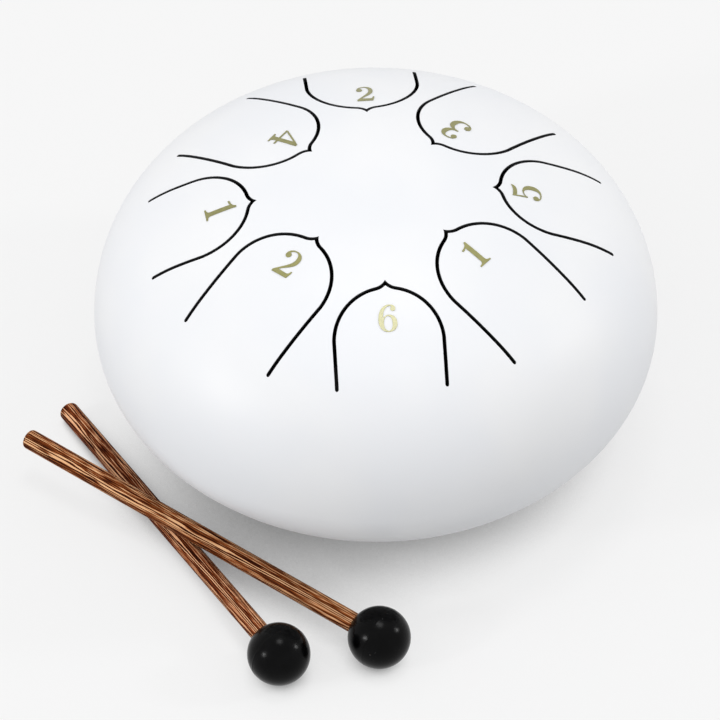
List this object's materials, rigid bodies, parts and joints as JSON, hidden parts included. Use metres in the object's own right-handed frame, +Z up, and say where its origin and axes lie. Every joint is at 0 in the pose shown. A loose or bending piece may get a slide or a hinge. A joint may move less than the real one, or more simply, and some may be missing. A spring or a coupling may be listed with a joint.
{
  "type": "steel tongue drum",
  "caption": "Round hollow steel drum with tongues cut into its dome by arched slits, gold numerals, a sound hole below and a pair of ball mallets to strike it with.",
  "frame": {"origin": "on the drum's axis, in the plane that its rubber feet stand on", "axes": "+Z up along the drum's axis, -Y to the front, where the tongue with the numeral 6 is"},
  "size_m": [0.2278, 0.2314, 0.115],
  "materials": {
    "shell_paint": "satin white powder coat on pressed steel",
    "gold_foil": "thin satin gold foil",
    "foot_rubber": "matt black moulded rubber",
    "stick_wood": "striped dark hardwood, sanded and oiled",
    "head_rubber": "satin black moulded rubber"
  },
  "bodies": {
    "drum": {"upper_shell": "shell_paint", "lower_shell": "shell_paint", "seam_weld": "shell_paint", "rubber_foot_1": "foot_rubber", "rubber_foot_2": "foot_rubber", "rubber_foot_3": "foot_rubber"},
    "tongue_1": {"tongue_1": "shell_paint", "number_1": "gold_foil"},
    "tongue_2": {"tongue_2": "shell_paint", "number_2": "gold_foil"},
    "tongue_3": {"tongue_3": "shell_paint", "number_3": "gold_foil"},
    "tongue_4": {"tongue_4": "shell_paint", "number_4": "gold_foil"},
    "tongue_5": {"tongue_5": "shell_paint", "number_5": "gold_foil"},
    "tongue_6": {"tongue_6": "shell_paint", "number_6": "gold_foil"},
    "tongue_7": {"tongue_7": "shell_paint", "number_7": "gold_foil"},
    "tongue_8": {"tongue_8": "shell_paint", "number_8": "gold_foil"},
    "lower_mallet": {"lower_mallet_stick": "stick_wood", "lower_mallet_head": "head_rubber"},
    "upper_mallet": {"upper_mallet_stick": "stick_wood", "upper_mallet_head": "head_rubber"}
  },
  "joints": [
    {"name": "tongue_1_flex", "type": "hinge", "parent": "drum", "child": "tongue_1", "pos_m": [-0.00027, -0.07612, 0.09658], "axis": [-1, 0.0035, 0], "range_deg": [-0.5, 0.5], "stiffness_Nm_per_rad": 5},
    {"name": "tongue_2_flex", "type": "hinge", "parent": "drum", "child": "tongue_2", "pos_m": [0.05525, -0.05336, 0.09612], "axis": [-0.6947, -0.7193, 0], "range_deg": [-0.5, 0.5], "stiffness_Nm_per_rad": 5},
    {"name": "tongue_3_flex", "type": "hinge", "parent": "drum", "child": "tongue_3", "pos_m": [0.08062, 0.00113, 0.09329], "axis": [0.014, -0.9999, 0], "range_deg": [-0.5, 0.5], "stiffness_Nm_per_rad": 5},
    {"name": "tongue_4_flex", "type": "hinge", "parent": "drum", "child": "tongue_4", "pos_m": [0.05332, 0.05314, 0.09711], "axis": [0.7059, -0.7083, 0], "range_deg": [-0.5, 0.5], "stiffness_Nm_per_rad": 5},
    {"name": "tongue_5_flex", "type": "hinge", "parent": "drum", "child": "tongue_5", "pos_m": [-0.00065, 0.07451, 0.09757], "axis": [1, 0.0087, 0], "range_deg": [-0.5, 0.5], "stiffness_Nm_per_rad": 5},
    {"name": "tongue_6_flex", "type": "hinge", "parent": "drum", "child": "tongue_6", "pos_m": [-0.05422, 0.052, 0.0972], "axis": [0.6921, 0.7218, 0], "range_deg": [-0.5, 0.5], "stiffness_Nm_per_rad": 5},
    {"name": "tongue_7_flex", "type": "hinge", "parent": "drum", "child": "tongue_7", "pos_m": [-0.07834, 0.00027, 0.09505], "axis": [0.0035, 1, 0], "range_deg": [-0.5, 0.5], "stiffness_Nm_per_rad": 5},
    {"name": "tongue_8_flex", "type": "hinge", "parent": "drum", "child": "tongue_8", "pos_m": [-0.05482, -0.05369, 0.09617], "axis": [-0.6997, 0.7145, 0], "range_deg": [-0.5, 0.5], "stiffness_Nm_per_rad": 5},
    {"name": "lower_mallet_lift", "type": "slide", "parent": "drum", "child": "lower_mallet", "axis": [-0.4924, -0.4132, 0.766], "range_m": [0, 0.2]},
    {"name": "upper_mallet_lift", "type": "slide", "parent": "lower_mallet", "child": "upper_mallet", "axis": [-0.4924, -0.4132, 0.766], "range_m": [0, 0.2]}
  ]
}
